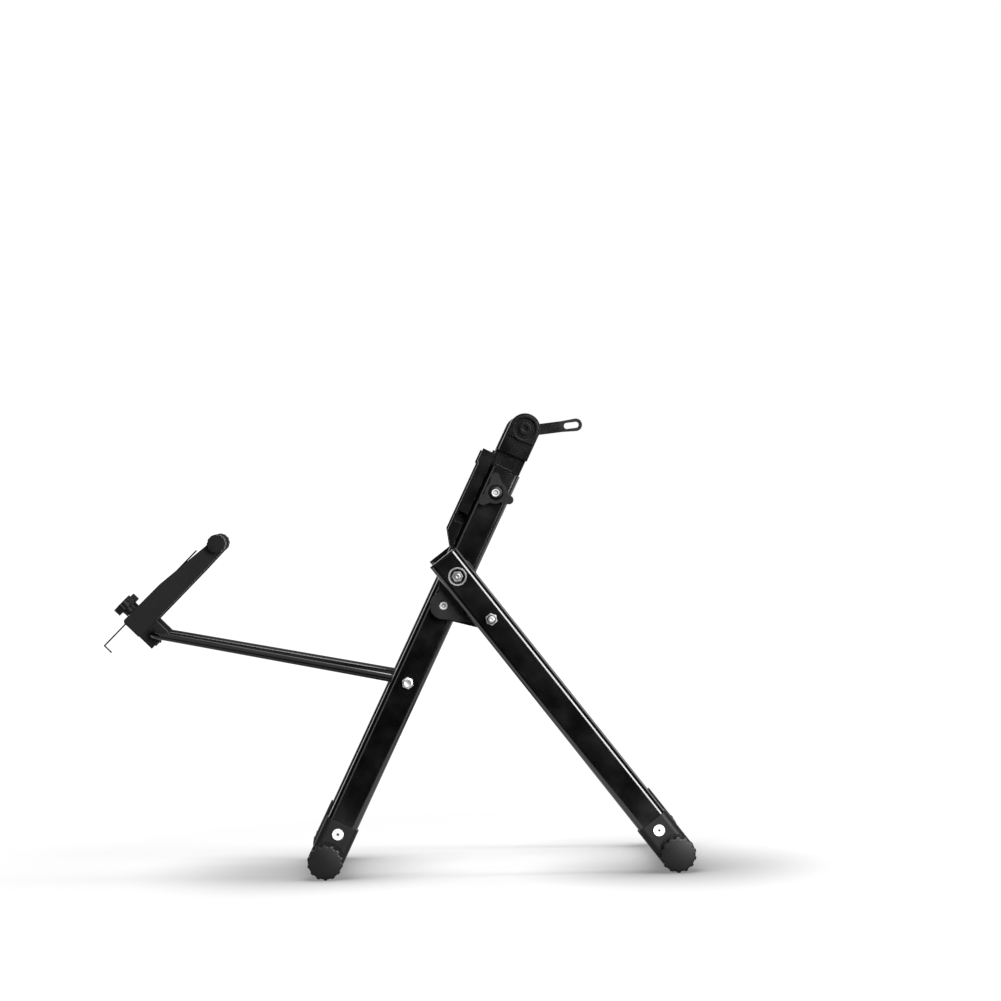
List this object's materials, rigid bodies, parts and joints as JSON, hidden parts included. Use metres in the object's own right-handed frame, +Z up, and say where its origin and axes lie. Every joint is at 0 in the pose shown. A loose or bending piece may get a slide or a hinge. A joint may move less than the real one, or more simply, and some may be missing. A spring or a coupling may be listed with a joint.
{
  "type": "bicycle wheel truing stand",
  "caption": "Folding bench stand that holds a bicycle wheel by its axle, with swinging calipers that show where the rim runs out of true.",
  "frame": {"origin": "centre of the wheel axle, midway between the faces of the two axle cups", "axes": "+X towards the front feet, +Y along the axle from the near side to the far side, +Z up"},
  "size_m": [0.5568, 0.264, 0.4345],
  "materials": {
    "tube_gloss": "gloss black powder coat",
    "foot_plastic": "matte moulded nylon",
    "dial_rubber": "matte hard rubber",
    "moulding": "satin moulded nylon",
    "knob_plastic": "satin moulded nylon",
    "zinc": "bright zinc plate",
    "cup_steel": "blackened steel",
    "lever_black": "satin black",
    "rod_black": "gloss black rod",
    "bush_plastic": "acetal",
    "arm_plastic": "satin moulded nylon",
    "feeler_plastic": "acetal"
  },
  "bodies": {
    "rear_frame": {"rear_leg_near": "tube_gloss", "rear_leg_far": "tube_gloss", "rear_cross_tube": "tube_gloss", "rear_foot_near": "foot_plastic", "rear_foot_far": "foot_plastic", "rear_rivets": "zinc", "fold_bracket_near": "moulding", "fold_bracket_far": "moulding", "bracket_screws": "zinc", "bracket_nuts": "zinc", "pivot_bolts": "zinc", "pivot_nuts": "zinc", "gauge_bolts": "zinc", "gauge_nuts": "zinc", "knob_inserts": "zinc"},
    "front_frame": {"front_leg_near": "tube_gloss", "front_leg_far": "tube_gloss", "front_cross_tube": "tube_gloss", "front_foot_near": "foot_plastic", "front_foot_far": "foot_plastic", "front_rivets": "zinc", "front_end_plugs": "moulding", "stop_bolts": "zinc", "stop_nuts": "zinc", "pivot_bushes": "zinc"},
    "rear_dial_near": {"rear_dial_near": "dial_rubber"},
    "rear_dial_far": {"rear_dial_far": "dial_rubber"},
    "front_dial_near": {"front_dial_near": "dial_rubber"},
    "front_dial_far": {"front_dial_far": "dial_rubber"},
    "head_near": {"head_near": "moulding", "head_rail_near": "moulding", "rail_screw_near": "zinc"},
    "head_far": {"head_far": "moulding", "head_rail_far": "moulding", "rail_screw_far": "zinc", "cam_seat": "zinc"},
    "head_knob_near": {"head_knob_near": "knob_plastic", "head_screw_near": "zinc"},
    "head_knob_far": {"head_knob_far": "knob_plastic", "head_screw_far": "zinc"},
    "axle_cup_near": {"axle_cup_near": "cup_steel"},
    "cup_screw": {"cup_screw": "lever_black"},
    "axle_plunger_far": {"axle_plunger_far": "cup_steel", "lever_pin": "zinc"},
    "clamp_lever": {"clamp_lever": "lever_black"},
    "gauge_yoke": {"gauge_yoke": "rod_black"},
    "bush_near": {"slide_bush_near": "bush_plastic"},
    "caliper_near": {"caliper_arm_near": "arm_plastic"},
    "tee_knob_near": {"tee_knob_near": "knob_plastic"},
    "feeler_pad_near": {"feeler_pad_near": "feeler_plastic"},
    "feeler_screw_near": {"feeler_screw_near": "knob_plastic"},
    "bush_far": {"slide_bush_far": "bush_plastic"},
    "caliper_far": {"caliper_arm_far": "arm_plastic"},
    "tee_knob_far": {"tee_knob_far": "knob_plastic"},
    "feeler_pad_far": {"feeler_pad_far": "feeler_plastic"},
    "feeler_screw_far": {"feeler_screw_far": "knob_plastic"},
    "radial_wire": {"radial_wire": "rod_black"}
  },
  "joints": [
    {"name": "front_leg_fold", "type": "hinge", "parent": "rear_frame", "child": "front_frame", "pos_m": [-0.06818, 0, -0.13675], "axis": [0, 1, 0], "range_deg": [0, 63.2]},
    {"name": "rear_dial_near_turn", "type": "hinge", "parent": "rear_frame", "child": "rear_dial_near", "pos_m": [-0.20093, 0, -0.405], "axis": [0, 1, 0], "range_deg": [0, 180]},
    {"name": "rear_dial_far_turn", "type": "hinge", "parent": "rear_frame", "child": "rear_dial_far", "pos_m": [-0.20093, 0, -0.405], "axis": [0, 1, 0], "range_deg": [0, 180]},
    {"name": "front_dial_near_turn", "type": "hinge", "parent": "front_frame", "child": "front_dial_near", "pos_m": [0.13028, 0, -0.405], "axis": [0, 1, 0], "range_deg": [0, 180]},
    {"name": "front_dial_far_turn", "type": "hinge", "parent": "front_frame", "child": "front_dial_far", "pos_m": [0.13028, 0, -0.405], "axis": [0, 1, 0], "range_deg": [0, 180]},
    {"name": "head_near_slide", "type": "slide", "parent": "rear_frame", "child": "head_near", "axis": [0.4462, 0, 0.8949], "range_m": [0, 0.025]},
    {"name": "head_knob_near_turn", "type": "hinge", "parent": "rear_frame", "child": "head_knob_near", "pos_m": [-0.02967, -0.1, -0.05951], "axis": [0, -1, 0], "range_deg": [0, 360]},
    {"name": "head_far_slide", "type": "slide", "parent": "rear_frame", "child": "head_far", "axis": [0.4462, 0, 0.8949], "range_m": [0, 0.025]},
    {"name": "head_knob_far_turn", "type": "hinge", "parent": "rear_frame", "child": "head_knob_far", "pos_m": [-0.02967, 0.1, -0.05951], "axis": [0, 1, 0], "range_deg": [0, 360]},
    {"name": "axle_cup_near_draw", "type": "slide", "parent": "head_near", "child": "axle_cup_near", "axis": [0, -1, 0], "range_m": [0, 0.015]},
    {"name": "cup_screw_turn", "type": "hinge", "parent": "head_near", "child": "cup_screw", "pos_m": [0, -0.097, 0], "axis": [0, -1, 0], "range_deg": [0, 4320]},
    {"name": "clamp_lever_swing", "type": "hinge", "parent": "axle_plunger_far", "child": "clamp_lever", "pos_m": [0, 0.107, 0], "axis": [-0.0958, 0, 0.9954], "range_deg": [0, 90]},
    {"name": "plunger_far_draw", "type": "slide", "parent": "head_far", "child": "axle_plunger_far", "axis": [0, 1, 0], "range_m": [0, 0.005]},
    {"name": "gauge_swing", "type": "hinge", "parent": "rear_frame", "child": "gauge_yoke", "pos_m": [-0.11797, 0, -0.23662], "axis": [0, 1, 0], "range_deg": [-30, 95]},
    {"name": "bush_near_slide", "type": "slide", "parent": "gauge_yoke", "child": "bush_near", "axis": [0, 1, 0], "range_m": [0, 0.005]},
    {"name": "arm_near_tilt", "type": "hinge", "parent": "bush_near", "child": "caliper_near", "pos_m": [-0.36064, 0, -0.18548], "axis": [0, 1, 0], "range_deg": [-30, 40]},
    {"name": "tee_knob_near_turn", "type": "hinge", "parent": "caliper_near", "child": "tee_knob_near", "pos_m": [-0.3816, -0.026, -0.16401], "axis": [-0.6984, 0, 0.7157], "range_deg": [0, 360]},
    {"name": "feeler_pad_near_slide", "type": "slide", "parent": "caliper_near", "child": "feeler_pad_near", "axis": [0, 1, 0], "range_m": [-0.003, 0.005]},
    {"name": "feeler_screw_near_turn", "type": "hinge", "parent": "caliper_near", "child": "feeler_screw_near", "pos_m": [-0.29759, -0.026, -0.10047], "axis": [0, 1, 0], "range_deg": [-1350, 2250]},
    {"name": "bush_far_slide", "type": "slide", "parent": "gauge_yoke", "child": "bush_far", "axis": [0, -1, 0], "range_m": [0, 0.005]},
    {"name": "arm_far_tilt", "type": "hinge", "parent": "bush_far", "child": "caliper_far", "pos_m": [-0.36064, 0, -0.18548], "axis": [0, 1, 0], "range_deg": [-30, 40]},
    {"name": "tee_knob_far_turn", "type": "hinge", "parent": "caliper_far", "child": "tee_knob_far", "pos_m": [-0.3816, 0.026, -0.16401], "axis": [-0.6984, 0, 0.7157], "range_deg": [0, 360]},
    {"name": "feeler_pad_far_slide", "type": "slide", "parent": "caliper_far", "child": "feeler_pad_far", "axis": [0, -1, 0], "range_m": [-0.003, 0.005]},
    {"name": "feeler_screw_far_turn", "type": "hinge", "parent": "caliper_far", "child": "feeler_screw_far", "pos_m": [-0.29759, 0.026, -0.10047], "axis": [0, -1, 0], "range_deg": [-1350, 2250]},
    {"name": "radial_wire_slide", "type": "slide", "parent": "caliper_near", "child": "radial_wire", "axis": [0.7157, 0, 0.6984], "range_m": [-0.01, 0.01]}
  ],
  "couplings": [
    {"joint": "cup_screw_turn", "follows": "axle_cup_near_draw", "rad_per_m": 5026.5},
    {"joint": "clamp_lever_swing", "follows": "plunger_far_draw", "rad_per_m": 314.15},
    {"joint": "feeler_pad_near_slide", "follows": "feeler_screw_near_turn", "m_per_rad": 0.00012732},
    {"joint": "feeler_pad_far_slide", "follows": "feeler_screw_far_turn", "m_per_rad": 0.00012732}
  ]
}
